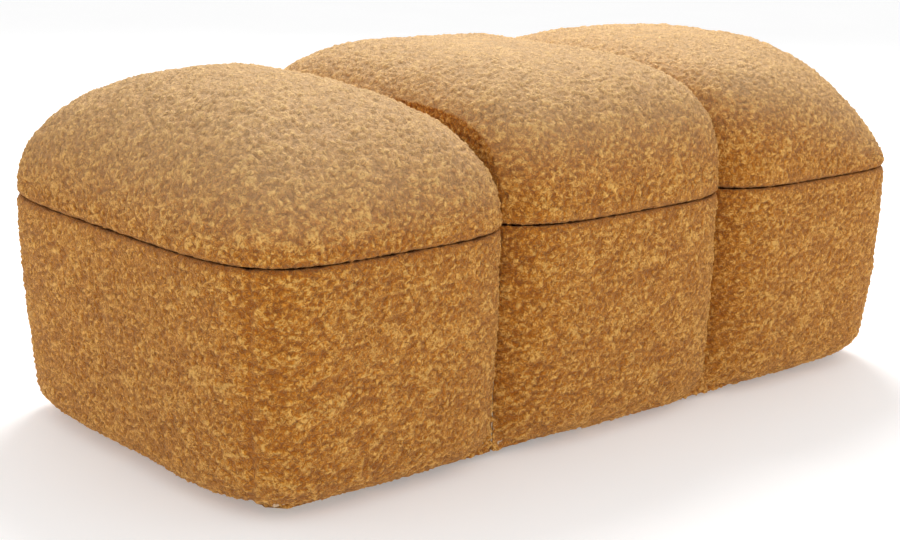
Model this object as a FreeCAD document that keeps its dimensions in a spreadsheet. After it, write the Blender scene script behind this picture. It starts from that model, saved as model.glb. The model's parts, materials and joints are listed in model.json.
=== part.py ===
"""Upholstered bench ottoman with a storage well under a hinged, three-lobed lid.

X runs along the length, Y across the depth with the hinges at the back (+Y), and Z is up.
The origin is on the floor under the middle. Every length is in millimetres.
"""

import FreeCAD, Part
import os

import Sketcher

V = FreeCAD.Vector
doc = FreeCAD.newDocument("storage_ottoman")

# ---------------------------------------------------------------- driving sizes

SIZES = {
    # whole object
    "overall_length": 1130,
    "overall_depth": 594,
    "overall_height": 458,
    "parting_height": 286,
    "parting_gap": 3,
    "foot_height": 8,
    # upholstery
    "cover_thick": 6,
    "end_padding": 62,
    "side_padding": 52,
    "toe_in": 21,
    "toe_roll": 37,
    "lobe_seam_gap": 1,
    "groove_round": 44,
    "outer_round": 52,
    "edge_round": 9,
    # wooden carcass
    "board_thick": 12,
    "hinge_block_length": 130,
    "hinge_block_width": 26,
    "hinge_block_thick": 20,
    "batten_width": 60,
    "batten_thick": 20,
    "floor_thick": 12,
    "block_leg": 60,
    "lid_board_thick": 15,
    "lid_board_margin": 50,
    "lining_thick": 1.5,
    "dust_cover_thick": 1,
    "dust_cover_margin": 95,
    # feet and buffers
    "foot_top_radius": 22,
    "foot_toe_radius": 17,
    "foot_inset_x": 130,
    "foot_inset_y": 127,
    "buffer_radius": 7,
    "buffer_clearance": 0.3,
    # hinges
    "hinge_length": 90,
    "hinge_leaf_depth": 58,
    "hinge_leaf_thick": 1.4,
    "knuckle_radius": 4.5,
    "pin_radius": 2,
    "pin_clearance": 0.05,
    "knuckle_gap": 0.5,
    "knuckle_inset": 4.5,
    "knuckle_relief": 2,
    # gas struts
    "strut_radius": 8,
    "strut_bore": 6.4,
    "strut_tube_length": 124,
    "strut_socket_radius": 6.5,
    "strut_socket_length": 22,
    "rod_radius": 3.5,
    "rod_inner_length": 120,
    "ball_radius": 4,
    "ball_clearance": 0.2,
    "strut_from_board": 20,
    "strut_base_forward": 128,
    "strut_base_drop": 190,
    "strut_lid_forward": 82,
    "strut_lid_drop": 22,
    "bracket_thick": 2.5,
    "bracket_width": 24,
    # screws
    "screw_radius": 1.8,
    "screw_head_radius": 3.4,
    "screw_head_height": 1,
    "screw_length": 14,
}

sheet = doc.addObject("Spreadsheet::Sheet", "Sizes")
for row, (alias, value) in enumerate(SIZES.items(), start=1):
    sheet.set(f"A{row}", alias)
    sheet.set(f"B{row}", str(value))
    sheet.setAlias(f"B{row}", alias)
doc.recompute()


def cell(alias):
    """The value that the sheet holds, for the few shapes that are computed here."""
    return float(getattr(sheet, alias))


def expand(text):
    """An expression in which every size's alias is prefixed with the sheet's name."""
    words = sorted(SIZES, key=len, reverse=True)
    out, i = "", 0
    while i < len(text):
        found = next((w for w in words if text.startswith(w, i)), None)
        before = text[i - 1] if i else " "
        if found and not (before.isalnum() or before in "._"):
            out += "Sizes." + found
            i += len(found)
        else:
            out += text[i]
            i += 1
    return out


def evaluate(text):
    """The number that an expression of the sheet's sizes gives now."""
    return float(sheet.evalExpression(expand(text)))


# ---------------------------------------------------------------- shared places

LOBE = "(overall_length / 3)"
BASE_BOTTOM = "foot_height"
BASE_TOP = "(parting_height - parting_gap / 2)"
LID_BOTTOM = "(parting_height + parting_gap / 2)"
WOOD_BOTTOM = "(foot_height + cover_thick)"
WOOD_TOP = f"({BASE_TOP} - cover_thick)"
FLOOR_BOTTOM = f"({WOOD_BOTTOM} + batten_thick)"
FLOOR_TOP = f"({FLOOR_BOTTOM} + floor_thick)"
OUTER_X = "(overall_length / 2 - end_padding)"
OUTER_Y = "(overall_depth / 2 - side_padding)"
INNER_X = f"({OUTER_X} - board_thick)"
INNER_Y = f"({OUTER_Y} - board_thick)"
BLOCK_Y = f"({OUTER_Y} + hinge_block_width)"
BLOCK_BOTTOM = f"({WOOD_TOP} - hinge_block_thick)"
LID_BOARD_X = "(overall_length / 2 - lid_board_margin)"
LID_BOARD_Y = "(overall_depth / 2 - lid_board_margin)"
LID_BOARD_BOTTOM = f"({LID_BOTTOM} + lining_thick)"
LID_BOARD_TOP = f"({LID_BOARD_BOTTOM} + lid_board_thick)"
HINGE_Y = "(overall_depth / 2 - knuckle_inset)"

kept = []


def bind(obj, **expressions):
    """Ties properties to the sheet. Two underscores stand for the dot of a nested one."""
    for name, text in expressions.items():
        obj.setExpression(name.replace("__", "."), expand(text))


def place(obj, x="0", y="0", z="0"):
    bind(obj, Placement__Base__x=x, Placement__Base__y=y, Placement__Base__z=z)


def box(name, x0, x1, y0, y1, z0, z1):
    """A block between three pairs of planes, each pair low then high."""
    made = doc.addObject("Part::Box", name)
    bind(made, Length=f"({x1}) - ({x0})", Width=f"({y1}) - ({y0})", Height=f"({z1}) - ({z0})")
    place(made, x0, y0, z0)
    return made


def ring_box(name, x, y, z0, z1):
    """A block centred on the Z axis, with half sizes x and y."""
    return box(name, f"-({x})", x, f"-({y})", y, z0, z1)


def cut(name, base, *tools):
    """base less each tool in turn."""
    for number, tool in enumerate(tools):
        made = doc.addObject("Part::Cut", name if number == len(tools) - 1 else f"{name}_less_{number}")
        made.Base, made.Tool = base, tool
        base = made
    return base


def together(name, *shapes):
    """Separate solids held as one object, or touching ones joined."""
    made = doc.addObject("Part::MultiFuse", name)
    made.Shapes = list(shapes)
    return made


def group(name, *shapes):
    """Separate solids that share one node and aren't joined."""
    made = doc.addObject("Part::Compound", name)
    made.Links = list(shapes)
    return made


def keep(obj, label):
    """Marks an object as a sub-part. Its label names its file."""
    obj.Label = label
    kept.append(obj)
    return obj


def cylinder(name, radius, height, x, y, z, axis=None):
    """A round bar from x, y, z along axis, which is +Z unless it is given."""
    made = doc.addObject("Part::Cylinder", name)
    bind(made, Radius=radius, Height=height)
    if axis:
        made.Placement = FreeCAD.Placement(V(0, 0, 0), FreeCAD.Rotation(V(0, 0, 1), V(*axis)))
    place(made, x, y, z)
    return made


# ---------------------------------------------------------------- padded lobes


def rounded_sketch(body, name, z, x_low, x_high, y_half, round_low, round_high):
    """A rectangle with rounded corners on a plane at height z of its own body.

    x_low and x_high are the distances from the body's middle to its two ends, and the ends
    have a corner radius each.
    """
    sketch = body.newObject("Sketcher::SketchObject", name)
    plane = next(f for f in body.Origin.OriginFeatures if f.Role == "XY_Plane")
    sketch.AttachmentSupport = [(plane, "")]
    sketch.MapMode = "FlatFace"
    sketch.setExpression("AttachmentOffset.Base.z", expand(z))
    a, b, c = evaluate(x_low), evaluate(x_high), evaluate(y_half)
    r, t = evaluate(round_low), evaluate(round_high)
    corners = [(-a + r, -c + r, r, 180), (b - t, -c + t, t, 270), (b - t, c - t, t, 0), (-a + r, c - r, r, 90)]
    lines = [
        (V(-a + r, -c), V(b - t, -c)),
        (V(b, -c + t), V(b, c - t)),
        (V(b - t, c), V(-a + r, c)),
        (V(-a, c - r), V(-a, -c + r)),
    ]
    for start, end in lines:
        sketch.addGeometry(Part.LineSegment(start, end), False)
    for x, y, radius, start in corners:
        circle = Part.Circle(V(x, y, 0), V(0, 0, 1), radius)
        turn = FreeCAD.Units.Quantity
        first, last = turn(f"{start} deg"), turn(f"{start + 90} deg")
        sketch.addGeometry(Part.ArcOfCircle(circle, first.getValueAs("rad").Value, last.getValueAs("rad").Value), False)
    constrain = sketch.addConstraint
    for arc in range(4):
        before, after = (arc - 1) % 4, arc
        constrain(Sketcher.Constraint("Tangent", 4 + arc, 1, before, 2))
        constrain(Sketcher.Constraint("Tangent", 4 + arc, 2, after, 1))
    for line, direction in ((0, "Horizontal"), (1, "Vertical"), (2, "Horizontal"), (3, "Vertical")):
        constrain(Sketcher.Constraint(direction, line))
    constrain(Sketcher.Constraint("Equal", 4, 7))
    constrain(Sketcher.Constraint("Equal", 5, 6))
    driven = [
        (Sketcher.Constraint("DistanceX", 3, 1, -1, 1, a), x_low),
        (Sketcher.Constraint("DistanceX", -1, 1, 1, 1, b), x_high),
        (Sketcher.Constraint("DistanceY", 0, 1, -1, 1, c), y_half),
        (Sketcher.Constraint("DistanceY", -1, 1, 2, 1, c), y_half),
        (Sketcher.Constraint("Radius", 4, r), round_low),
        (Sketcher.Constraint("Radius", 5, t), round_high),
    ]
    for constraint, expression in driven:
        index = constrain(constraint)
        sketch.setExpression(f"Constraints[{index}]", expand(expression))
    return sketch


def lobe_body(name, side, levels, shrink):
    """A lofted lobe. side is -1, 0 or 1 along X, and levels go upward.

    Each level is its height, how far the outline is drawn in there at the front, back and free
    end, how far it is drawn in from the seam with the next lobe, and its corner radius there.
    """
    body = doc.addObject("PartDesign::Body", name)
    place(body, f"{side} * {LOBE}")
    seam = f"({LOBE} / 2 - lobe_seam_gap / 2 - {shrink})"
    sketches = []
    for number, (height, inset, seam_inset, inner_round) in enumerate(levels):
        outer = f"({LOBE} / 2 - {shrink} - {inset})"
        inner = f"({seam} - {seam_inset})"
        y_half = f"(overall_depth / 2 - {shrink} - {inset})"
        outer_round = f"(outer_round - {shrink})"
        low, high = (outer if side < 0 else inner), (outer if side > 0 else inner)
        low_round = outer_round if side < 0 else inner_round
        high_round = outer_round if side > 0 else inner_round
        args = (height, low, high, y_half, low_round, high_round)
        sketches.append(rounded_sketch(body, f"{name}_level_{number}", *args))
    doc.recompute()
    loft = body.newObject("PartDesign::AdditiveLoft", f"{name}_loft")
    loft.Profile = sketches[0]
    loft.Sections = sketches[1:]
    loft.Ruled = True
    doc.recompute()
    return body


# Share of the toe's roll, and how far the outline has drawn in there, as a share of the roll.
TOE = [(0.0, 0.62), (0.10, 0.33), (0.30, 0.12), (0.60, 0.02), (1.0, 0.0)]


def base_levels(shrink):
    """The side wall: rolled under at the toe and upright where the lid parts from it.

    The seam between two lobes stays at one depth all the way down, in front of the boards.
    """
    low, high = f"({BASE_BOTTOM} + {shrink})", f"({BASE_TOP} - {shrink})"
    wall = f"({BASE_TOP} - {BASE_BOTTOM})"
    levels = []
    for share, inset in TOE:
        drawn_in = f"(toe_in * {1 - share * 0.2} + toe_roll * {inset})"
        levels.append((f"({low} + toe_roll * {share})", drawn_in, f"(toe_roll * {inset} * 0.6)"))
    levels.append((f"({BASE_BOTTOM} + {wall} * 0.45)", "(toe_in * 0.3)", "0"))
    levels.append((f"({BASE_BOTTOM} + {wall} * 0.75)", "(toe_in * 0.05)", "0"))
    levels.append((f"({high} - edge_round)", "0", "0"))
    levels.append((high, "(edge_round * 0.6)", "(edge_round * 0.5)"))
    return [(z, inset, seam, f"max(groove_round - {shrink} - {inset}; 5)") for z, inset, seam in levels]


# Share of the dome's height, and how far the outline has drawn in there, as a share of the
# dome's rise from its edge to its crown.
DOME = [
    (0.0, 0.035),
    (0.055, 0.0),
    (0.22, 0.015),
    (0.40, 0.06),
    (0.56, 0.135),
    (0.70, 0.24),
    (0.82, 0.39),
    (0.91, 0.58),
    (0.97, 0.83),
]


def lid_levels(shrink):
    """The domed lid lobe, from its upright edge to a crown that is nearly flat."""
    rise = f"(overall_height - {LID_BOTTOM} - 2 * {shrink})"
    levels = []
    for share, inset in DOME:
        height = f"({LID_BOTTOM} + {shrink} + {rise} * {share})"
        levels.append((height, f"({rise} * {inset})", f"({rise} * {inset} * 0.62)", f"(groove_round - {shrink})"))
    crown = f"({LID_BOTTOM} + {shrink} + {rise})"
    levels.append((crown, f"({rise} * 1.25)", f"({rise} * 1.25 * 0.62)", f"(groove_round - {shrink})"))
    return levels


SIDES = {"left": -1, "centre": 0, "right": 1}


def carcass_void():
    """The space that the wooden box and the hinge blocks take out of the base padding."""
    walls = ring_box("carcass_space", OUTER_X, OUTER_Y, "0", BASE_TOP)
    blocks = [hinge_block(side) for side in SIDES.values()]
    return walls, group("hinge_block_space", *blocks)


def hinge_block(side):
    """A block glued outside the top of the back board, which carries a hinge over the padding."""
    x = f"({side} * {LOBE})"
    low, high = f"({x} - hinge_block_length / 2)", f"({x} + hinge_block_length / 2)"
    return box("hinge_block", low, high, OUTER_Y, BLOCK_Y, BLOCK_BOTTOM, WOOD_TOP)


def knuckle_relief(name, x):
    """The notch that a hinge knuckle needs in the covers on both sides of the parting line."""
    half = "(hinge_length / 2 + knuckle_relief)"
    radius = "(knuckle_radius + knuckle_relief)"
    return cylinder(name, radius, f"2 * {half}", f"{x} - {half}", HINGE_Y, "parting_height", (1, 0, 0))


def keep_panels(obj, label, side):
    """Keeps an end lobe whole and the middle one as a front and a back panel."""
    if side:
        keep(obj, label)
        return
    reach, height = "overall_length", "overall_height"
    behind = box(label + "_behind", f"-{reach}", reach, "0", "overall_depth", "0", height)
    before = box(label + "_before", f"-{reach}", reach, "-overall_depth", "0", "0", height)
    keep(cut(label + "_front_cut", obj, behind), label + "_front")
    keep(cut(label + "_back_cut", obj, before), label + "_back")


def make_base_upholstery():
    walls, blocks = carcass_void()
    under = ring_box("carcass_foot_space", OUTER_X, OUTER_Y, WOOD_BOTTOM, WOOD_TOP)
    opening = ring_box("opening_space", INNER_X, INNER_Y, "0", "overall_height")
    floor_gap = "(toe_in + dust_cover_margin)"
    below = ring_box(
        "dust_cover_space", f"(overall_length / 2 - {floor_gap})", f"(overall_depth / 2 - {floor_gap})", "0", WOOD_BOTTOM
    )
    for side_name, side in SIDES.items():
        x = f"{side} * {LOBE}"
        outer = lobe_body(f"base_outer_{side_name}", side, base_levels("0"), "0")
        inner = lobe_body(f"base_inner_{side_name}", side, base_levels("cover_thick"), "cover_thick")
        foam = cut(f"foam_cut_{side_name}", inner, walls, blocks)
        keep_panels(foam, f"base_foam_{side_name}", side)
        relief = knuckle_relief(f"base_relief_{side_name}", x)
        cover = cut(f"cover_cut_{side_name}", outer, inner, under, blocks, opening, below, relief)
        keep_panels(cover, f"base_cover_{side_name}", side)


def make_lid_upholstery():
    board = ring_box("lid_board_space", LID_BOARD_X, LID_BOARD_Y, "0", LID_BOARD_TOP)
    for side_name, side in SIDES.items():
        x = f"{side} * {LOBE}"
        outer = lobe_body(f"lid_outer_{side_name}", side, lid_levels("0"), "0")
        inner = lobe_body(f"lid_inner_{side_name}", side, lid_levels("cover_thick"), "cover_thick")
        foam = cut(f"lid_foam_cut_{side_name}", inner, board)
        keep(foam, f"lid_foam_{side_name}")
        relief = knuckle_relief(f"lid_relief_{side_name}", x)
        cover = cut(f"lid_cover_cut_{side_name}", outer, inner, board, relief)
        keep(cover, f"lid_cover_{side_name}")


# ---------------------------------------------------------------- wooden carcass


def make_carcass():
    keep(box("front", f"-{OUTER_X}", OUTER_X, f"-{OUTER_Y}", f"-{INNER_Y}", WOOD_BOTTOM, WOOD_TOP), "front_board")
    keep(box("back", f"-{OUTER_X}", OUTER_X, INNER_Y, OUTER_Y, WOOD_BOTTOM, WOOD_TOP), "back_board")
    keep(box("left", f"-{OUTER_X}", f"-{INNER_X}", f"-{INNER_Y}", INNER_Y, WOOD_BOTTOM, WOOD_TOP), "left_end_board")
    keep(box("right", INNER_X, OUTER_X, f"-{INNER_Y}", INNER_Y, WOOD_BOTTOM, WOOD_TOP), "right_end_board")
    keep(ring_box("floor", INNER_X, INNER_Y, FLOOR_BOTTOM, FLOOR_TOP), "floor_board")
    keep(group("hinge_block_set", *(hinge_block(side) for side in SIDES.values())), "hinge_blocks")
    for name, place_x in BATTEN_X.items():
        low, high = f"({place_x}) - batten_width / 2", f"({place_x}) + batten_width / 2"
        batten = box(f"batten_{name}_bar", low, high, f"-{INNER_Y}", INNER_Y, WOOD_BOTTOM, FLOOR_BOTTOM)
        keep(batten, f"{name}_batten")
    keep(group("blocks", *(corner_block(i, j) for i in (-1, 1) for j in (-1, 1))), "corner_blocks")


FOOT_X = "(overall_length / 2 - foot_inset_x)"
FOOT_Y = "(overall_depth / 2 - foot_inset_y)"
BATTEN_X = {"left": f"-({FOOT_X})", "middle": "0", "right": FOOT_X}


def corner_block(side_x, side_y):
    """A glued three-cornered block that stiffens a corner of the box from outside the well."""
    leg = evaluate("block_leg")
    x, y = side_x * evaluate(INNER_X), side_y * evaluate(INNER_Y)
    low, high = evaluate(WOOD_BOTTOM), evaluate(FLOOR_BOTTOM)
    reach = min(leg, evaluate(f"{INNER_X} - {FOOT_X} - batten_width / 2"))
    points = [V(x, y, low), V(x - side_x * reach, y, low), V(x, y - side_y * leg, low), V(x, y, low)]
    made = doc.addObject("Part::Feature", "corner_block")
    made.Shape = Part.Face(Part.makePolygon(points)).extrude(V(0, 0, high - low))
    return made


def make_underside():
    gap = "(toe_in + dust_cover_margin)"
    x, y = f"(overall_length / 2 - {gap} + 12)", f"(overall_depth / 2 - {gap} + 12)"
    keep(ring_box("dust", x, y, f"{BASE_BOTTOM} - dust_cover_thick", BASE_BOTTOM), "dust_cover")
    for x_name, x in BATTEN_X.items():
        for y_name, y in (("front", f"-({FOOT_Y})"), ("back", FOOT_Y)):
            keep(foot(f"foot_{y_name}_{x_name}", x, y), f"{y_name}_{x_name}_foot")


def foot(name, x, y):
    """A tapered glide pressed against the underside, with a countersunk hole for its screw."""
    top = f"({BASE_BOTTOM} - dust_cover_thick)"
    cone = doc.addObject("Part::Cone", name + "_cone")
    bind(cone, Radius1="foot_toe_radius", Radius2="foot_top_radius", Height=top)
    place(cone, x, y, "0")
    bore = cylinder(name + "_bore", "screw_radius + pin_clearance", top, x, y, "0")
    sink = cylinder(name + "_sink", "screw_head_radius + pin_clearance", "foot_height / 2", x, y, "0")
    return cut(name, cone, bore, sink)


def make_lining():
    """The sewn fabric box that lines the storage well, and the panel that lines the lid."""
    clear = "0.2"
    outer_x, outer_y = f"({INNER_X} - {clear})", f"({INNER_Y} - {clear})"
    outer = ring_box("lining_outer", outer_x, outer_y, f"{FLOOR_TOP}", WOOD_TOP)
    inner_x, inner_y = f"({outer_x} - lining_thick)", f"({outer_y} - lining_thick)"
    inner = ring_box("lining_inner", inner_x, inner_y, f"({FLOOR_TOP} + lining_thick)", "overall_height")
    keep(cut("lining_box", outer, inner), "storage_lining")
    margin = "2"
    panel = ring_box("lid_panel", f"({LID_BOARD_X} - {margin})", f"({LID_BOARD_Y} - {margin})", LID_BOTTOM, LID_BOARD_BOTTOM)
    keep(panel, "lid_lining")


def make_lid_board():
    keep(ring_box("lid_board_block", LID_BOARD_X, LID_BOARD_Y, LID_BOARD_BOTTOM, LID_BOARD_TOP), "lid_board")
    x, y = f"({INNER_X} + board_thick)", f"({INNER_Y} + board_thick)"
    top = f"({LID_BOTTOM} - buffer_clearance)"
    height = f"({top} - ({BASE_TOP}))"
    places = [(f"-({x})", f"-({y})"), (x, f"-({y})"), (f"-({x})", "0"), (x, "0"), ("0", f"-({y})")]
    discs = [cylinder("buffer", "buffer_radius", height, px, py, BASE_TOP) for px, py in places]
    keep(group("buffers", *discs), "lid_buffers")


# ---------------------------------------------------------------- hinges


def knuckle(name, x_low, length):
    """One barrel of a hinge on the lid's axis, bored for the pin."""
    axis = (1, 0, 0)
    outer = cylinder(name, "knuckle_radius", length, x_low, HINGE_Y, "parting_height", axis)
    bore = cylinder(name + "_bore", "pin_radius + pin_clearance", length, x_low, HINGE_Y, "parting_height", axis)
    return outer, bore


def hinge_leaf(name, x, is_lid):
    """A leaf with its barrels: the two outer ones on the base leaf, the middle one on the lid's."""
    third = "((hinge_length - 2 * knuckle_gap) / 3)"
    low_x, high_x = f"({x} - hinge_length / 2)", f"({x} + hinge_length / 2)"
    back, front = f"({HINGE_Y} - knuckle_radius - knuckle_gap)", f"({HINGE_Y} - hinge_leaf_depth)"
    faces = ("parting_height", f"({LID_BOTTOM})") if is_lid else (BASE_TOP, "parting_height")
    slit = "(parting_gap / 2 - hinge_leaf_thick)"
    low_z, high_z = (f"{faces[0]} + {slit}", faces[1]) if is_lid else (faces[0], f"{faces[1]} - {slit}")
    plate = box(name + "_plate", low_x, high_x, front, back, low_z, high_z)
    starts = [f"({low_x} + {third} + knuckle_gap)"] if is_lid else [low_x, f"({high_x} - {third})"]
    barrels, bores, tongues = [], [], []
    for number, start in enumerate(starts):
        outer, bore = knuckle(f"{name}_barrel_{number}", start, third)
        end = f"({start} + {third})"
        tongue = box(f"{name}_tongue_{number}", start, end, f"({back} - 1)", HINGE_Y, low_z, high_z)
        barrels.append(outer)
        bores.append(bore)
        tongues.append(tongue)
    body = together(name + "_body", plate, *tongues, *barrels)
    holes = []
    for number, (hole_x, hole_y) in enumerate(hinge_screw_places(x, is_lid)):
        clear_root, clear_head = "screw_radius + pin_clearance", "screw_head_radius + pin_clearance"
        wide, narrow = (clear_root, clear_head) if is_lid else (clear_head, clear_root)
        hole = doc.addObject("Part::Cone", f"{name}_hole_{number}")
        bind(hole, Radius1=narrow, Radius2=wide, Height=f"({high_z}) - ({low_z})")
        place(hole, hole_x, hole_y, low_z)
        holes.append(hole)
    return cut(name, body, *bores, *holes)


def hinge_screw_places(x, is_lid):
    """A row into the lid board or the back board's top edge, and one into the hinge block."""
    front, back = f"({INNER_Y} + board_thick / 2)", f"({OUTER_Y} + hinge_block_width / 2)"
    places = [(f"({x} + {step} * hinge_length)", front) for step in (-0.36, 0, 0.36)]
    if is_lid:
        return places
    return places + [(f"({x} + {step} * hinge_length)", back) for step in (-0.2, 0.2)]


def make_hinges():
    for side_name, side in SIDES.items():
        x = f"({side} * {LOBE})"
        keep(hinge_leaf(f"leaf_base_{side_name}", x, False), f"{side_name}_hinge_base_leaf")
        keep(hinge_leaf(f"leaf_lid_{side_name}", x, True), f"{side_name}_hinge_lid_leaf")
        low_x = f"({x} - hinge_length / 2)"
        pin = cylinder(f"pin_{side_name}", "pin_radius", "hinge_length", low_x, HINGE_Y, "parting_height", (1, 0, 0))
        keep(pin, f"{side_name}_hinge_pin")


# ---------------------------------------------------------------- gas struts


def strut_ends():
    """The two ball centres with the lid shut, as (y, z)."""
    hinge_y, hinge_z = evaluate(HINGE_Y), cell("parting_height")
    base = (hinge_y - cell("strut_base_forward"), hinge_z - cell("strut_base_drop"))
    lid = (hinge_y - cell("strut_lid_forward"), hinge_z - cell("strut_lid_drop"))
    return base, lid


def strut_x(side):
    return side * evaluate(f"{INNER_X} - lining_thick - 0.2 - strut_from_board")


def strut_frame(side):
    """The placement whose +Z runs up the shut strut from its lower ball."""
    (by, bz), (ly, lz) = strut_ends()
    along = V(0, ly - by, lz - bz)
    place_at = FreeCAD.Placement(V(strut_x(side), by, bz), FreeCAD.Rotation(V(0, 0, 1), along))
    return place_at, along.Length


def solid_feature(name, shape, placement):
    made = doc.addObject("Part::Feature", name)
    made.Shape = shape
    made.Placement = placement.multiply(shape.Placement)
    return made


def socket_shape(start, direction):
    """A ball socket that opens sideways, with a neck towards the strut."""
    ball, clear = cell("ball_radius"), cell("ball_clearance")
    radius, length = cell("strut_socket_radius"), cell("strut_socket_length")
    head = Part.makeCylinder(radius, 2 * ball, V(-ball, 0, 0), V(1, 0, 0))
    neck = Part.makeCylinder(radius * 0.8, length, V(0, 0, 0), V(0, 0, direction))
    hollow = Part.makeSphere(ball + clear)
    mouth = Part.makeCylinder(ball * 0.9, ball * 3, V(0, 0, 0), V(start, 0, 0))
    return head.fuse(neck).cut(hollow).cut(mouth).removeSplitter()


def make_strut(side_name, side):
    frame, span = strut_frame(side)
    neck = cell("strut_socket_length")
    tube, bore, outer = cell("strut_tube_length"), cell("strut_bore"), cell("strut_radius")
    rod, clear = cell("rod_radius"), cell("pin_clearance")
    wall = outer - bore
    body = Part.makeCylinder(outer, tube, V(0, 0, neck))
    hollow = Part.makeCylinder(bore, tube - 2 * wall, V(0, 0, neck + wall))
    passage = Part.makeCylinder(rod + clear, 2 * wall, V(0, 0, neck + tube - wall))
    shell = body.cut(hollow).cut(passage)
    keep(solid_feature("strut_tube", shell, frame), f"{side_name}_strut_cylinder")
    keep(solid_feature("strut_socket", socket_shape(side, 1), frame), f"{side_name}_strut_lower_socket")
    top = V(0, 0, span)
    inner_end = neck + tube - cell("rod_inner_length")
    bar = Part.makeCylinder(rod, span - neck - inner_end, V(0, 0, inner_end))
    piston = Part.makeCylinder(bore - clear, wall * 5, V(0, 0, inner_end))
    keep(solid_feature("strut_rod", bar.fuse(piston).removeSplitter(), frame), f"{side_name}_strut_rod")
    upper = open_cup(side).translated(top)
    keep(solid_feature("strut_cup", upper, frame), f"{side_name}_strut_upper_socket")


def open_cup(side):
    """The upper socket. It clips over the lid's ball from the well's side, so it stops short of the stud."""
    ball, radius = cell("ball_radius"), cell("strut_socket_radius")
    length = cell("strut_socket_length")
    face = ball + cell("ball_clearance")
    head = Part.makeCylinder(radius, 2 * ball, V(-side * (face + 2 * ball), 0, 0), V(side, 0, 0))
    arm_start = V(-side * (face + ball), 0, 0)
    arm = Part.makeCylinder(radius * 0.55, length * 0.7, arm_start, V(0, 0, -1))
    foot_length = length * 0.45
    neck = Part.makeCylinder(radius * 0.8, foot_length, V(0, 0, -length), V(0, 0, 1))
    bridge_width = face + 2 * ball
    bridge = Part.makeBox(bridge_width, radius * 1.1, foot_length * 0.5)
    bridge_x = -bridge_width if side > 0 else 0
    bridge.translate(V(bridge_x, -radius * 0.55, -length + foot_length * 0.45))
    return head.fuse([arm, neck, bridge]).removeSplitter()


def stud_shape(side, reach):
    """A ball on a short stud that runs from the ball towards its bracket."""
    ball = cell("ball_radius")
    stem = Part.makeCylinder(ball * 0.6, reach, V(0, 0, 0), V(side, 0, 0))
    return Part.makeSphere(ball).fuse(stem)


def make_brackets(side_name, side):
    (by, bz), (ly, lz) = strut_ends()
    x, thick, width = strut_x(side), cell("bracket_thick"), cell("bracket_width")
    wall_x = side * evaluate(f"{INNER_X} - lining_thick - 0.2")
    hole = cell("screw_radius") + cell("pin_clearance")
    reach = abs(wall_x - x) - thick
    plate = Part.makeBox(thick, width, width * 2)
    plate.translate(V(wall_x - thick if side > 0 else wall_x, by - width / 2, bz - width))
    for z in BRACKET_SCREWS:
        plate = plate.cut(Part.makeCylinder(hole, thick * 2, V(wall_x - side * thick * 1.5, by, bz + z * width), V(side, 0, 0)))
    stud = stud_shape(side, reach + thick / 2).translated(V(x, by, bz))
    keep(solid_feature("base_bracket", plate.fuse(stud), FreeCAD.Placement()), f"{side_name}_strut_base_bracket")
    top = evaluate(LID_BOTTOM)
    lid_reach = reach * 0.6
    web_x = x + side * lid_reach
    web = Part.makeBox(thick, width, top - lz + width * 0.4)
    web.translate(V(web_x if side > 0 else web_x - thick, ly - width / 2, lz - width * 0.4))
    flange_length = width * 1.6
    flange = Part.makeBox(width, flange_length, thick)
    flange.translate(V(lid_flange_x(side) - width / 2, ly + width / 2 - flange_length, top - thick))
    for y in lid_flange_holes(ly, width):
        flange = flange.cut(Part.makeCylinder(hole, thick * 3, V(lid_flange_x(side), y, top - thick * 2)))
    stud = stud_shape(side, lid_reach + thick / 2).translated(V(x, ly, lz))
    shape = web.fuse([flange, stud])
    keep(solid_feature("lid_bracket", shape, FreeCAD.Placement()), f"{side_name}_strut_lid_bracket")


def lid_flange_x(side):
    """The middle of the lid bracket's flange, which lies inward of its web."""
    reach = cell("strut_from_board") - cell("bracket_thick")
    return strut_x(side) + side * (reach * 0.6 + cell("bracket_thick") - cell("bracket_width") / 2)


def lid_flange_holes(ly, width):
    return [ly + width * (0.5 - 1.6 * share) for share in (0.16, 0.84)]


BRACKET_SCREWS = (-0.62, 0.62)


# ---------------------------------------------------------------- screws


def screw(x, y, z, axis):
    """A pan-head screw whose head sits at x, y, z and whose shank runs along axis."""
    shank = Part.makeCylinder(cell("screw_radius"), cell("screw_length"), V(x, y, z), V(*axis))
    head_height = cell("screw_head_height")
    back = V(*axis) * -head_height
    head = Part.makeCylinder(cell("screw_head_radius"), head_height, V(x, y, z) + back, V(*axis))
    return shank.fuse(head).removeSplitter()


def hinge_screw(x, y, is_lid):
    """A countersunk screw whose head lies flush in a hinge leaf."""
    leaf = cell("hinge_leaf_thick")
    up = 1 if is_lid else -1
    face = cell("parting_height") + up * (cell("parting_gap") / 2 - leaf)
    axis = V(0, 0, up)
    head = Part.makeCone(cell("screw_head_radius"), cell("screw_radius"), leaf, V(x, y, face), axis)
    shank = Part.makeCylinder(cell("screw_radius"), cell("screw_length"), V(x, y, face + up * leaf), axis)
    return head.fuse(shank).removeSplitter()


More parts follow.
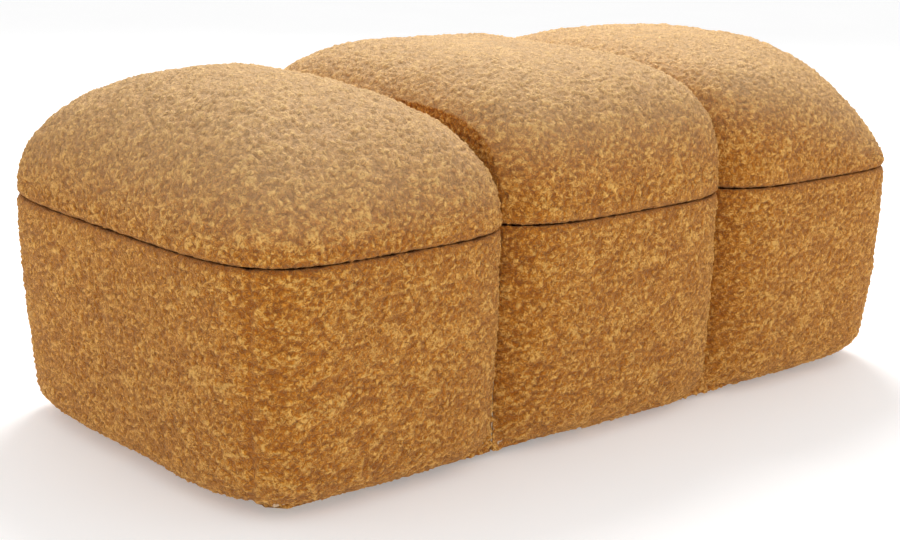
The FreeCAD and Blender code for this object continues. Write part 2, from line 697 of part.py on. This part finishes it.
def make_screws():
    base, lid, feet = [], [], []
    for side in (-1, 1):
        (by, bz), (ly, _) = strut_ends()
        thick, width = cell("bracket_thick"), cell("bracket_width")
        wall_x = side * (evaluate(f"{INNER_X} - lining_thick - 0.2") - thick)
        for step in BRACKET_SCREWS:
            base.append(screw(wall_x, by, bz + step * width, (side, 0, 0)))
        for y in lid_flange_holes(ly, width):
            lid.append(screw(lid_flange_x(side), y, evaluate(LID_BOTTOM) - thick, (0, 0, 1)))
    for side in SIDES.values():
        for screws, is_lid in ((base, False), (lid, True)):
            for x, y in hinge_screw_places(f"({side} * {LOBE})", is_lid):
                screws.append(hinge_screw(evaluate(x), evaluate(y), is_lid))
    for x in BATTEN_X.values():
        for y in (f"-({FOOT_Y})", FOOT_Y):
            feet.append(screw(evaluate(x), evaluate(y), cell("foot_height") / 2, (0, 0, 1)))
    for shapes, label in ((base, "base_screws"), (lid, "lid_screws"), (feet, "foot_screws")):
        keep(solid_feature(label, Part.makeCompound(shapes), FreeCAD.Placement()), label)


# ---------------------------------------------------------------- build and write

make_base_upholstery()
make_lid_upholstery()
make_carcass()
make_underside()
make_lining()
make_lid_board()
make_hinges()
for side_name, side in (("left", -1), ("right", 1)):
    make_strut(side_name, side)
    make_brackets(side_name, side)
make_screws()
doc.recompute()

faults = [o.Name for o in doc.Objects if {"Invalid", "Error"} & set(o.State)]
faults += [o.Label for o in kept if o.Shape.isNull() or not o.Shape.isValid() or not o.Shape.Solids]
if faults:
    raise SystemExit(f"these objects failed: {faults}")

os.makedirs("parts", exist_ok=True)
for sub_part in kept:
    sub_part.Shape.exportStep(f"parts/{sub_part.Label}.step")
print(len(kept), "sub-parts")
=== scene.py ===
import json
import math

import bmesh
import bpy
import numpy as np
from mathutils import Matrix, Vector


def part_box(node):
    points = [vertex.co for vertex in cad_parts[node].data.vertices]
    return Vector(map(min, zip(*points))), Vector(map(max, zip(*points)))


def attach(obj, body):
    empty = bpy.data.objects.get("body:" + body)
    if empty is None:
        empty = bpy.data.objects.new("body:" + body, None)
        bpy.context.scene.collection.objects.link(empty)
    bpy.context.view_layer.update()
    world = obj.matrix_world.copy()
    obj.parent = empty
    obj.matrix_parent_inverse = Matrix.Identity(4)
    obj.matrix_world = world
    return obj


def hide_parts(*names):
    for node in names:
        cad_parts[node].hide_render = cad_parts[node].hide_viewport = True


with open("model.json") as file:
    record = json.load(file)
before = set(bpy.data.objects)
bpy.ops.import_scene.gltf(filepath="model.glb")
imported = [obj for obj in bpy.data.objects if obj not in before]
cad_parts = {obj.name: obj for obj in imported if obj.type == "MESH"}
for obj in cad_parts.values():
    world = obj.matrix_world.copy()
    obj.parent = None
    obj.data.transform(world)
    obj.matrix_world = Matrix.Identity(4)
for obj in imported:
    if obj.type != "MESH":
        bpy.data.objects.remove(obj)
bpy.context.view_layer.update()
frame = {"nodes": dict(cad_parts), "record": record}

# ---------------------------------------------------------------- wooden box
# Birch plywood walls glued and screwed round a floor board, with pine battens and blocks
# below it. The lid is one sheet board. All of it is left bare, because cloth hides it.

SLOTS = {entry["node"]: entry["material_slot"] for entry in frame["record"]["subparts"]}


def grained(name, colour, roughness, grain=(0.8, 1.15), size=60.0, stretch=(1, 1, 1), metallic=0.0, relief=0.0):
    """A material whose colour, and relief if it has any, vary with noise through the piece."""
    mat = bpy.data.materials.new(name)
    mat.use_nodes = True
    nodes, links = mat.node_tree.nodes, mat.node_tree.links
    shader = nodes["Principled BSDF"]
    coord = nodes.new("ShaderNodeTexCoord")
    mapping = nodes.new("ShaderNodeMapping")
    mapping.inputs["Scale"].default_value = stretch
    noise = nodes.new("ShaderNodeTexNoise")
    noise.inputs["Scale"].default_value = size
    noise.inputs["Detail"].default_value = 6
    ramp = nodes.new("ShaderNodeValToRGB")
    for element, position, shade in zip(ramp.color_ramp.elements, (0.3, 0.7), grain):
        element.position = position
        element.color = (*[min(1, part * shade) for part in colour], 1)
    links.new(coord.outputs["Object"], mapping.inputs[0])
    links.new(mapping.outputs[0], noise.inputs["Vector"])
    links.new(noise.outputs["Fac"], ramp.inputs[0])
    links.new(ramp.outputs[0], shader.inputs["Base Color"])
    shader.inputs["Roughness"].default_value = roughness
    shader.inputs["Metallic"].default_value = metallic
    if relief:
        bump = nodes.new("ShaderNodeBump")
        bump.inputs["Strength"].default_value = 0.5
        bump.inputs["Distance"].default_value = relief
        links.new(noise.outputs["Fac"], bump.inputs["Height"])
        links.new(bump.outputs[0], shader.inputs["Normal"])
    return mat


def dress(slot, material):
    """Gives the material to every solid whose slot this is."""
    for node_name, obj in frame["nodes"].items():
        if SLOTS[node_name] == slot:
            obj.data.materials.clear()
            obj.data.materials.append(material)


dress("plywood", grained("birch plywood", (0.62, 0.44, 0.27), 0.6, (0.75, 1.15), 40, (0.15, 1, 4), relief=0.0004))
dress("panel_board", grained("sheet board", (0.50, 0.34, 0.19), 0.65, (0.8, 1.15), 50, (0.15, 1, 1), relief=0.0003))
dress("softwood", grained("planed pine", (0.70, 0.50, 0.29), 0.6, (0.7, 1.15), 60, (1, 0.1, 1), relief=0.0004))

# ---------------------------------------------------------------- lining and dust cover
# The well and the lid's underside are lined with black non-woven cloth, sewn and stapled.
# A thinner black cloth is stapled over the bottom.

dress("lining_cloth", grained("black lining cloth", (0.022, 0.021, 0.023), 0.95, (0.5, 1.8), 900, relief=0.0004))
dress("dust_cloth", grained("black dust cover", (0.012, 0.012, 0.012), 0.95, (0.5, 1.8), 900, relief=0.0003))

# ---------------------------------------------------------------- glides and bumpers
# Six black plastic glides are screwed up into the battens. Small felt bumpers on the box's
# top edge keep the lid from landing on wood.

dress("glide_plastic", grained("black glide plastic", (0.018, 0.018, 0.018), 0.45, (0.8, 1.3), 400, relief=0.0001))
dress("buffer_felt", grained("soft bumper", (0.05, 0.045, 0.04), 0.9, (0.7, 1.4), 900, relief=0.0002))

# ---------------------------------------------------------------- hinges and screws
# Three butt hinges of pressed steel with a loose pin, zinc-plated like the screws that
# hold them and the rest of the hardware.

dress("hinge_steel", grained(
    "zinc-plated steel", (0.60, 0.60, 0.58), 0.32, (0.85, 1.1), 300, (0.2, 1, 1), metallic=1.0, relief=0.00005))
dress("screw_steel", grained("zinc-plated screws", (0.55, 0.54, 0.50), 0.3, (0.85, 1.1), 500, metallic=1.0))

HINGE_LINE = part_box("centre_hinge_pin")
HINGE_Y = (HINGE_LINE[0][1] + HINGE_LINE[1][1]) / 2
HINGE_Z = (HINGE_LINE[0][2] + HINGE_LINE[1][2]) / 2
KNUCKLE_ROOM = 0.0065  # the cloth keeps this far from a hinge's pin line
KNUCKLE_END = 0.002    # and this far past the pin's ends


def clear_knuckles(p):
    """Draws the cloth back from round the hinge barrels."""
    for hinge in ("left", "centre", "right"):
        low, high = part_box(f"{hinge}_hinge_pin")
        off_y, off_z = p[:, 1] - HINGE_Y, p[:, 2] - HINGE_Z
        away = np.maximum(np.hypot(off_y, off_z), 1e-6)
        beside = (p[:, 0] > low[0] - KNUCKLE_END) & (p[:, 0] < high[0] + KNUCKLE_END)
        push = np.where((away < KNUCKLE_ROOM) & beside, KNUCKLE_ROOM / away, 1.0)
        p[:, 1], p[:, 2] = HINGE_Y + off_y * push, HINGE_Z + off_z * push
    return p


# ---------------------------------------------------------------- gas struts
# A painted tube with a polished rod, a nylon ball socket at each end, and a painted steel
# bracket with a ball stud on the box's end board and on the lid board.

dress("strut_black", grained("black strut tube", (0.014, 0.014, 0.015), 0.3, (0.8, 1.3), 300))
dress("rod_chrome", grained("polished rod", (0.80, 0.80, 0.82), 0.08, (0.95, 1.03), 300, metallic=1.0))
dress("socket_plastic", grained("black nylon", (0.03, 0.03, 0.03), 0.5, (0.8, 1.3), 500, relief=0.0001))
dress("bracket_steel", grained("black bracket paint", (0.025, 0.025, 0.026), 0.4, (0.8, 1.3), 500, relief=0.0001))

# ---------------------------------------------------------------- mustard boucle cloth
# The cover cloth is a woven base with a pile of small curled loops, dyed mustard.
# The loops are raised in the mesh itself, and the yarn inside each loop is in the material.

PILE = 0.0048          # how high the curls stand
PILE_ROOT = 0.45       # the share of that height which the woven base takes up
CURL = 0.0052          # how wide one curl is
KNOT = 0.0043          # how wide one knot of yarn is
LUMP = 0.016           # how far apart the thick places in the cloth are
SEAM_REACH = 0.0035    # how far an upright corner seam pulls the pile down to each side, which also darkens the colour there as painted shade
SEAM_SINK = 0.0011     # and how deep it sinks
SEAM_FROM = 0.1        # it is sewn only this far out from the lobe's middle
CREASE_REACH = 0.006   # how far the pile lies down above and below the crease, which also darkens the colour there as painted shade


def hash01(i, j, k, salt):
    """A steady pseudo-random number from 0 to 1 for each lattice point."""
    n = i * 374761393 + j * 668265263 + k * 2147483647 + salt * 1274126177
    n = (n ^ (n >> 13)) * 1274126177 & 0xFFFFFFFF
    return ((n ^ (n >> 16)) & 0xFFFFFF) / float(0xFFFFFF)


def value_noise(p, cell, salt):
    """Smooth noise from -1 to 1 at points p, with features about one cell across."""
    q = p / cell
    base = np.floor(q).astype(np.int64)
    f = q - base
    f = f * f * (3 - 2 * f)
    total = np.zeros(len(p))
    for dx in (0, 1):
        for dy in (0, 1):
            for dz in (0, 1):
                w = np.abs(1 - dx - f[:, 0]) * np.abs(1 - dy - f[:, 1]) * np.abs(1 - dz - f[:, 2])
                total += w * hash01(base[:, 0] + dx, base[:, 1] + dy, base[:, 2] + dz, salt)
    return total * 2 - 1


def warped(p, amount, cell, salt):
    """The points pushed about by noise, so that a pattern read there curls."""
    shift = np.stack([value_noise(p, cell, salt + n) for n in range(3)], 1)
    return p + shift * amount


def pile_height(p):
    """Height of the curled pile from 0, deep between loops, to 1, on top of one."""
    curl = warped(warped(p, CURL / 2, CURL, 11), 0.004, 0.013, 21)
    loops = 1 - np.abs(value_noise(curl, CURL, 31)) * 1.5
    knots = value_noise(warped(p, 0.0016, 0.004, 71), KNOT, 51)
    lump = value_noise(p, LUMP, 61)
    return np.clip(0.42 + 0.34 * (loops - 0.4) + 0.46 * knots + 0.16 * lump, 0, 1.1)


def raise_pile(obj, corners=()):
    """Pushes the skin out along its normals by the pile. Keeps the height for the colour, where low pile is painted
    shade, and keeps a painted highlight share for upward-facing cloth.

    corners are the lobe's upright seams, each (x of the lobe's middle, x and y of the corner).
    """
    mesh = obj.data
    count = len(mesh.vertices)
    p = np.empty(count * 3)
    n = np.empty(count * 3)
    mesh.vertices.foreach_get("co", p)
    mesh.vertex_normals.foreach_get("vector", n)
    p, n = p.reshape(-1, 3), n.reshape(-1, 3)
    seam = np.zeros(count)
    for middle, x, y in corners:
        run = math.hypot(x - middle, y)
        ahead = ((p[:, 0] - middle) * (x - middle) + p[:, 1] * y) / run
        aside = ((p[:, 0] - middle) * y - p[:, 1] * (x - middle)) / run
        seam = np.maximum(seam, np.exp(-(aside / SEAM_REACH) ** 2) * (ahead > SEAM_FROM))
    above = p[:, 2] - HINGE_Z
    # Lowering the pile at the corner seams and at the crease also darkens the colour there: painted shade.
    h = pile_height(p) * (1 - 0.55 * seam) * (1 - 0.6 * np.exp(-(above / CREASE_REACH) ** 2))
    soft = value_noise(p, 0.12, 81) * 0.0022 + value_noise(p, 0.045, 91) * 0.0012
    soft = soft * np.clip(np.abs(above) / 0.03, 0, 1)
    p = p + n * ((h - PILE_ROOT) * PILE + soft - seam * SEAM_SINK)[:, None]
    mesh.vertices.foreach_set("co", clear_knuckles(p).ravel())
    # Painted highlight: the share by which upward-facing cloth above the crease is paled, standing in for the
    # overhead light.
    highlight_share = 0.50 * np.clip(n[:, 2], 0, 1) ** 1.2 * np.clip(above / 0.03, 0, 1)
    for attribute_name, values in (("pile", h), ("painted_highlight", highlight_share)):
        attribute = mesh.attributes.new(attribute_name, "FLOAT", "POINT")
        attribute.data.foreach_set("value", values)
    mesh.update()


def boucle_material():
    """Mustard yarn with painted shade, darker where the pile and the yarn are low, and with a painted highlight,
    paler on upward-facing cloth.
    """
    mat = bpy.data.materials.new("mustard boucle")
    mat.use_nodes = True
    nodes, links = mat.node_tree.nodes, mat.node_tree.links
    shader = nodes["Principled BSDF"]
    coord = nodes.new("ShaderNodeTexCoord")
    height = nodes.new("ShaderNodeAttribute")
    height.attribute_name = "pile"
    yarn = nodes.new("ShaderNodeTexNoise")
    yarn.inputs["Scale"].default_value = 250
    yarn.inputs["Detail"].default_value = 2.5
    yarn.inputs["Roughness"].default_value = 0.62
    yarn.inputs["Distortion"].default_value = 1.3
    dye = nodes.new("ShaderNodeTexNoise")
    dye.inputs["Scale"].default_value = 14
    dye.inputs["Detail"].default_value = 3
    for node in (yarn, dye):
        links.new(coord.outputs["Object"], node.inputs["Vector"])

    def scaled_sum(value, factor, plus):
        """value times factor plus another value or a number."""
        node = nodes.new("ShaderNodeMath")
        node.operation = "MULTIPLY_ADD"
        links.new(value, node.inputs[0])
        node.inputs[1].default_value = factor
        if isinstance(plus, float):
            node.inputs[2].default_value = plus
        else:
            links.new(plus, node.inputs[2])
        return node.outputs[0]

    # Random dye variation, plus painted shade: darker where the yarn's bump height and the pile height are low.
    dye_and_shade = scaled_sum(dye.outputs["Fac"], 0.22, -1.16)
    dye_and_shade = scaled_sum(yarn.outputs["Fac"], 2.30, dye_and_shade)
    dye_and_shade = scaled_sum(height.outputs["Fac"], 0.90, dye_and_shade)
    ramp = nodes.new("ShaderNodeValToRGB")
    dark, light = ramp.color_ramp.elements
    dark.position, dark.color = 0.06, (0.350, 0.092, 0.0010, 1)
    light.position, light.color = 0.95, (0.960, 0.510, 0.1150, 1)
    ramp.color_ramp.elements.new(0.36).color = (0.470, 0.142, 0.0030, 1)
    ramp.color_ramp.elements.new(0.62).color = (0.640, 0.228, 0.0130, 1)
    links.new(dye_and_shade, ramp.inputs[0])
    # Painted highlight: mixes the colour toward pale gold on upward-facing cloth.
    painted_highlight = nodes.new("ShaderNodeAttribute")
    painted_highlight.attribute_name = "painted_highlight"
    pale = nodes.new("ShaderNodeMix")
    pale.data_type = "RGBA"
    links.new(painted_highlight.outputs["Fac"], pale.inputs[0])
    links.new(ramp.outputs[0], pale.inputs[6])
    pale.inputs[7].default_value = (0.99, 0.74, 0.42, 1)
    links.new([socket for socket in pale.outputs if socket.type == "RGBA"][0], shader.inputs["Base Color"])
    bump = nodes.new("ShaderNodeBump")
    bump.inputs["Strength"].default_value = 1.0
    bump.inputs["Distance"].default_value = 0.0065
    links.new(yarn.outputs["Fac"], bump.inputs["Height"])
    links.new(bump.outputs[0], shader.inputs["Normal"])
    shader.inputs["Roughness"].default_value = 0.75
    shader.inputs["Specular IOR Level"].default_value = 0.25
    shader.inputs["Sheen Weight"].default_value = 0.42
    shader.inputs["Sheen Roughness"].default_value = 0.5
    shader.inputs["Sheen Tint"].default_value = (1.0, 0.74, 0.38, 1)
    return mat


boucle = boucle_material()
dress("boucle_cover", boucle)
dress("seat_foam", grained("foam", (0.80, 0.72, 0.48), 0.9, (0.8, 1.1), 700, relief=0.0005))

# ---------------------------------------------------------------- padded walls
# Foam over the plywood box, in three lobes that line up with the lid's. The cloth is pulled
# under the toe at the bottom and over the box's top edge into the well, and stapled there.

STEP = 0.0021    # the size of one square of modelled cloth
WELD = 0.00002         # corners nearer than this are one corner
SEAM_GAP = 0.0006      # each lobe stops this far short of the seam with its neighbour
SIDE = {"left": -1, "centre": 0, "right": 1}
lid_low, lid_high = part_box("lid_cover_left")[0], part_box("lid_cover_right")[1]
WIDTH = (lid_high[0] - lid_low[0]) / len(SIDE)
DEPTH = lid_high[1] - lid_low[1]
SQUARE = 4.7           # how square a lobe is in plan
PLUMP = 1.139          # a lobe's free width over the width that its neighbours leave it
BASE_LOW, BASE_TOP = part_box("base_cover_left")[0][2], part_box("base_cover_left")[1][2]
HEM = 0.0002           # room left between a hem and what it lies on
WELL_X, WELL_Y = [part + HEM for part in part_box("storage_lining")[1][:2]]
BOX_X, BOX_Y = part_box("back_board")[1][:2]
TOE = 0.037            # radius of the turn under the bottom
TAPER = 0.018          # how far in the wall leans at the bottom
TAPER_POWER = 2.1      # how late on its way down it starts to lean
OVER_BOARD = 0.002     # least cloth and wadding over a board
BROW = 0.004           # where the cloth starts to turn over the box, below its top
BROW_RISE = 0.0062     # how far it rises from there as it turns
BROW_TURN = 0.005      # and how far in it comes
WELL_TURN = 0.0055     # how far down the well the cloth is stapled
SEAM_LIFT, SEAM_LIFT_REACH = 0.020, 0.045     # how the bottom is drawn up beside a seam
FRONT_LIFT = 0.006     # and along the front and back
LIFT_HEIGHT = 0.10     # the pull is spent at this height


def plan(angle, side):
    """A lobe's outline at this angle, as offsets from its middle, before its neighbours press it."""
    c, s = np.cos(angle), np.sin(angle)
    x = np.sign(c) * np.abs(c) ** (2 / SQUARE)
    y = np.sign(s) * np.abs(s) ** (2 / SQUARE)
    half_width = np.where(x * side > 0, WIDTH / 2, WIDTH / 2 * PLUMP)
    return x * half_width, y * DEPTH / 2


def pressed(x, side):
    """Flattens the part of a lobe that would pass the seam with its neighbour."""
    edge = WIDTH / 2 - SEAM_GAP
    return np.clip(x, -edge if side > -1 else -WIDTH, edge if side < 1 else WIDTH)


def wall_profile():
    """Height and inset of the cloth, from under the toe up to where it turns over the box."""
    tall = BASE_TOP - BASE_LOW
    toe = np.linspace(0, math.pi / 2, max(6, int(TOE * 1.6 / STEP)) + 1)
    straight = tall - TOE - BROW_TURN
    wall = np.linspace(0, 1, int(straight / STEP) + 1)[1:]
    brow = np.linspace(0, math.pi / 2, 7)[1:]
    over = [tall + 0.0020, tall]
    heights = np.concatenate([TOE * (1 - np.cos(toe)), TOE + straight * wall, tall - BROW + BROW_RISE * np.sin(brow), over])
    insets = np.concatenate([TOE * (1 - np.sin(toe)), 0 * wall, BROW_TURN * (1 - np.cos(brow)), [0.009, 0.014]])
    leaning = TAPER * np.maximum(1 - heights / tall, 0) ** TAPER_POWER
    return heights + BASE_LOW, insets + leaning


def even_angles(side, first, last):
    """Angles from first to last, a step apart along the outline, without the parts at a seam."""
    coarse = np.linspace(first, last, 4001)
    x, y = plan(coarse, side)
    x = pressed(x, side)
    free = np.ones(len(x), bool)
    for way in (-1, 1):
        if side != way:
            free &= x * way < WIDTH / 2 - SEAM_GAP - 1e-9
    coarse, x, y = coarse[free], x[free], y[free]
    run = np.concatenate([[0], np.cumsum(np.hypot(np.diff(x), np.diff(y)))])
    return np.interp(np.linspace(0, run[-1], int(run[-1] / STEP)), run, coarse)


def wall_row(x0, y0, side, z, inset):
    """The outline at one height, drawn in by the inset, outside the box, and lifted at its foot."""
    tuck = np.where(x0 * side > 0, 1 - inset / (WIDTH / 2), 1.0)
    x = pressed(x0 * tuck, side) + side * WIDTH
    y = y0 * (1 - inset / (DEPTH / 2))
    sunk = (np.abs(y) < BOX_Y + OVER_BOARD) & (np.abs(x) < BOX_X + OVER_BOARD)
    nearer_end = BOX_X - np.abs(x) < BOX_Y - np.abs(y)
    x = np.where(sunk & nearer_end, np.sign(x) * (BOX_X + OVER_BOARD), x)
    y = np.where(sunk & ~nearer_end, np.sign(y) * (BOX_Y + OVER_BOARD), y)
    to_seam = WIDTH / 2 - np.where(side == 0, np.abs(x0), -x0 * side)
    drawn = SEAM_LIFT * np.exp(-(to_seam / SEAM_LIFT_REACH) ** 2)
    drawn = drawn + FRONT_LIFT * (np.abs(y0) / (DEPTH / 2)) ** 12
    proud = np.maximum(np.abs(y) - BOX_Y, np.abs(x) - BOX_X)
    lift = drawn * max(0.0, 1 - (z - BASE_LOW) / LIFT_HEIGHT) * np.clip((proud - 0.004) / 0.03, 0, 1)
    return np.stack([x, y, z + lift], 1)


def cloth_sheet(columns, rows):
    """A flat sheet of small squares, with the column and the row of each of its corners."""
    sheet = bmesh.new()
    bmesh.ops.create_grid(sheet, x_segments=columns - 1, y_segments=rows - 1, size=1.0)
    flat = np.array([corner.co[:2] for corner in sheet.verts])
    place = (flat - flat.min(0)) / np.ptp(flat, axis=0) * (columns - 1, rows - 1)
    column, row = np.rint(place).astype(int).T
    return sheet, column, row


def lay(sheet, places):
    """Puts each corner of the sheet at its place."""
    for corner, place in zip(sheet.verts, places):
        corner.co = place


def linked(name, shape, material):
    """Makes the shape an object of this material, smooth all over."""
    mesh = bpy.data.meshes.new(name)
    shape.to_mesh(mesh)
    shape.free()
    mesh.materials.append(material)
    mesh.shade_smooth()
    obj = bpy.data.objects.new(name, mesh)
    bpy.context.scene.collection.objects.link(obj)
    return obj


def sewn_up(name, sheet, *open_ends):
    """Closes the sheet's ends, welds it where its edges meet and turns its faces outward."""
    for loop in open_ends:
        sheet.faces.new(loop)
    bmesh.ops.remove_doubles(sheet, verts=sheet.verts, dist=WELD)
    bmesh.ops.recalc_face_normals(sheet, faces=sheet.faces)
    return linked(name, sheet, boucle)


def wall_lobe(name, side, first, last, *stands_for):
    """One lobe of wall, whose outline runs from the first angle to the last."""
    x0, y0 = plan(even_angles(side, first, last), side)
    rows = [wall_row(x0, y0, side, z, inset) for z, inset in zip(*wall_profile())]
    edge = rows[-1]

    def against(half_x, half_y, z):
        """The outline drawn in to a rectangle, where the lobe lies against the box."""
        x = np.clip(edge[:, 0], -half_x, half_x)
        y = np.clip(edge[:, 1], -half_y, half_y)
        return np.stack([x, y, np.full(len(x), z)], 1)

    lip = against(WELL_X, WELL_Y, BASE_TOP)
    rows += [edge * (1 - share) + lip * share for share in np.linspace(0, 1, 24)[1:]]
    rows += [against(WELL_X, WELL_Y, z) for z in (BASE_TOP - WELL_TURN, BASE_LOW + HEM)]
    rows.append(rows[0])
    sheet, column, row = cloth_sheet(len(x0), len(rows))
    lay(sheet, np.array(rows)[row, column])
    corners = np.array(sheet.verts)[np.lexsort((row, column))].reshape(len(x0), len(rows))
    obj = sewn_up(name, sheet, corners[0, :-1], corners[-1, :-1])
    corner_x, corner_y = plan(math.pi / 4, 1)
    middle = side * WIDTH
    seams = [(middle, middle + side * corner_x, way * corner_y) for way in (-1, 1)]
    raise_pile(obj, seams if side else ())
    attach(obj, "base")
    for part in stands_for:
        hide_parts(f"base_cover_{part}", f"base_foam_{part}")


wall_lobe("wall_lobe_left", -1, 0.0, 2 * math.pi, "left")
wall_lobe("wall_lobe_right", 1, -math.pi, math.pi, "right")
wall_lobe("wall_lobe_centre_front", 0, -math.pi, 0.0, "centre_front")
wall_lobe("wall_lobe_centre_back", 0, 0.0, math.pi, "centre_back")

# ---------------------------------------------------------------- lobed lid
# Three foam lobes, glued side by side on the lid board and covered in boucle, each sewn
# down into the groove next to it. Their plan is a rounded rectangle and they dome upward.

LID_Z = lid_low[2]
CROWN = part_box("lid_cover_centre")[1][2]
STUFFED = {-1: -0.003, 0: 0.006, 1: 0.005}    # how far each lobe's crown stands over the mean
INNER_DOME = {-1: 2.1, 0: 3.0, 1: 3.4}        # how full each lobe's dome is, left to right
OUTER_DOME = {-1: 1.95, 0: 3.0, 1: 1.5}       # and towards its free end
SPRING = 0.004         # how high over the lid's underside the dome starts
GROOVE_HEM = 0.006     # how far short of the seam the hem on the board stops
BOARD_ROOM = 0.0003    # how far that hem stands off the board's edge
DRAWN_STEPS = 5        # strips of cloth between the turn and the board
# The turn under the edge: how far in each strip comes, and its height over the lid's underside.
TURN_UNDER = ((0.0012, 0.0012), (0.0040, -0.0012), (0.009, -0.0022), (0.014, -0.0004))


def lobe_angle(s, t, q):
    """The outline angle that keeps a square sheet's lines evenly spread over a lobe."""
    q = np.where(q < 1e-9, 1, q)
    u, v = s / q, t / q
    return np.arctan2(np.sign(v) * np.abs(v) ** (SQUARE / 2), np.sign(u) * np.abs(u) ** (SQUARE / 2))


def dome(s, t, side):
    """Where the corner at s, t of a square sheet from -1 to 1 lies on the lobe's dome."""
    q = np.maximum(np.abs(s), np.abs(t))
    x, y = plan(lobe_angle(s, t, q), side)
    free = np.clip(0.5 + x * q * side / WIDTH * 1.4, 0, 1) if side else np.zeros_like(x)
    free = free * free * (3 - 2 * free)
    full = INNER_DOME[side] + (OUTER_DOME[side] - INNER_DOME[side]) * free
    out = np.sin(q * math.pi / 2) ** (2 / full)
    rise = np.maximum(np.cos(q * math.pi / 2), 0) ** (2 / full)
    spring = LID_Z + SPRING
    z = spring + (CROWN + STUFFED[side] - spring) * rise
    return np.stack([pressed(x * out, side) + side * WIDTH, y * out, z], 1)


def sew_strip(sheet, hem):
    """Sews a strip along an open hem, and gives back the new hem and its corners."""
    strip = bmesh.ops.extrude_edge_only(sheet, edges=hem)["geom"]
    corners = [part for part in strip if isinstance(part, bmesh.types.BMVert)]
    hem = [part for part in strip if isinstance(part, bmesh.types.BMEdge) and part.is_boundary]
    return hem, corners


def lid_lobe(name, side, stands_for):
    """One lobe of the lid: a dome, turned under its edge and drawn in to the lid board's edge."""
    columns, rows = int(2 * 0.30 / STEP), int(2 * 0.40 / STEP)
    sheet, column, row = cloth_sheet(columns, rows)
    lay(sheet, dome(np.linspace(-1, 1, columns)[column], np.linspace(-1, 1, rows)[row], side))
    hem = [edge for edge in sheet.edges if edge.is_boundary]
    middle = Matrix.Translation((-side * WIDTH, 0, 0))
    tucked = 0.0
    for inset, drop in TURN_UNDER:
        hem, corners = sew_strip(sheet, hem)
        narrower = (WIDTH / 2 - inset) / (WIDTH / 2 - tucked)
        shallower = (DEPTH / 2 - inset) / (DEPTH / 2 - tucked)
        bmesh.ops.scale(sheet, vec=(narrower, shallower, 1), space=middle, verts=corners)
        for corner in corners:
            corner.co.z = LID_Z + drop
        tucked = inset
    board_low, board_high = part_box("lid_board")
    low = [part - BOARD_ROOM for part in board_low[:2]]
    high = [part + BOARD_ROOM for part in board_high[:2]]
    if side > -1:
        low[0] = (side - 0.5) * WIDTH + GROOVE_HEM
    if side < 1:
        high[0] = (side + 0.5) * WIDTH - GROOVE_HEM
    for left_to_go in range(DRAWN_STEPS, 0, -1):
        hem, corners = sew_strip(sheet, hem)
        for corner in corners:
            for axis in (0, 1):
                home = min(max(corner.co[axis], low[axis]), high[axis])
                corner.co[axis] += (home - corner.co[axis]) / left_to_go
    hem, corners = sew_strip(sheet, hem)
    for corner in corners:
        corner.co.z = board_high[2] + 2 * HEM
    bmesh.ops.edgeloop_fill(sheet, edges=hem)
    obj = sewn_up(name, sheet)
    raise_pile(obj)
    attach(obj, "lid")
    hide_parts(f"lid_cover_{stands_for}", f"lid_foam_{stands_for}")


for part, side in SIDE.items():
    lid_lobe(f"lid_lobe_{part}", side, part)

# ---------------------------------------------------------------- floor, light and camera
# A white sweep with a broad soft light from above and behind the right shoulder, and a
# weak one in front. The camera looks down the long side from the left.

FLOOR_REACH = 30

world = bpy.data.worlds.new("soft sky")
bpy.context.scene.world = world
world.use_nodes = True
world.node_tree.nodes["Background"].inputs[0].default_value = (1.0, 1.0, 1.0, 1)
world.node_tree.nodes["Background"].inputs[1].default_value = 0.88

white = grained("white floor", (0.80, 0.80, 0.80), 0.9, (0.99, 1.01), 3)
white.node_tree.nodes["Principled BSDF"].inputs["Emission Color"].default_value = (1, 1, 1, 1)
white.node_tree.nodes["Principled BSDF"].inputs["Emission Strength"].default_value = 0.26
sweep = bmesh.new()
bmesh.ops.create_grid(sweep, x_segments=1, y_segments=1, size=FLOOR_REACH)
linked("floor", sweep, white)


def area_light(name, place, aim, size, power):
    """A round soft light at the place, turned to the aim."""
    data = bpy.data.lights.new(name, "AREA")
    data.shape = "DISK"
    data.size = size
    data.energy = power
    lamp = bpy.data.objects.new(name, data)
    bpy.context.scene.collection.objects.link(lamp)
    lamp.location = place
    lamp.rotation_euler = (Vector(aim) - Vector(place)).to_track_quat("-Z", "Y").to_euler()


area_light("overhead", (1.3, 1.5, 2.5), (0, 0, 0.3), 1.6, 95)
area_light("front fill", (-1.0, -3.2, 1.6), (0, 0, 0.2), 2.2, 6)

cam_data = bpy.data.cameras.new("camera")
cam_data.sensor_width = 36
cam_data.lens = 67.44
cam_data.shift_x = 0.00056
cam_data.shift_y = 0.004
cam = bpy.data.objects.new("camera", cam_data)
bpy.context.scene.collection.objects.link(cam)
cam.location = (-1.477, -1.660, 0.703)
yaw, pitch, roll = -0.711, 0.244, 0.016
ahead = Vector((-math.sin(yaw) * math.cos(pitch), math.cos(yaw) * math.cos(pitch), -math.sin(pitch)))
across = Vector((math.cos(yaw), math.sin(yaw), 0))
upward = across.cross(ahead)
tilted = math.cos(roll) * across + math.sin(roll) * upward
lifted = math.cos(roll) * upward - math.sin(roll) * across
cam.rotation_euler = Matrix((tilted, lifted, -ahead)).transposed().to_euler()
bpy.context.scene.camera = cam
bpy.context.scene.view_settings.view_transform = "Standard"
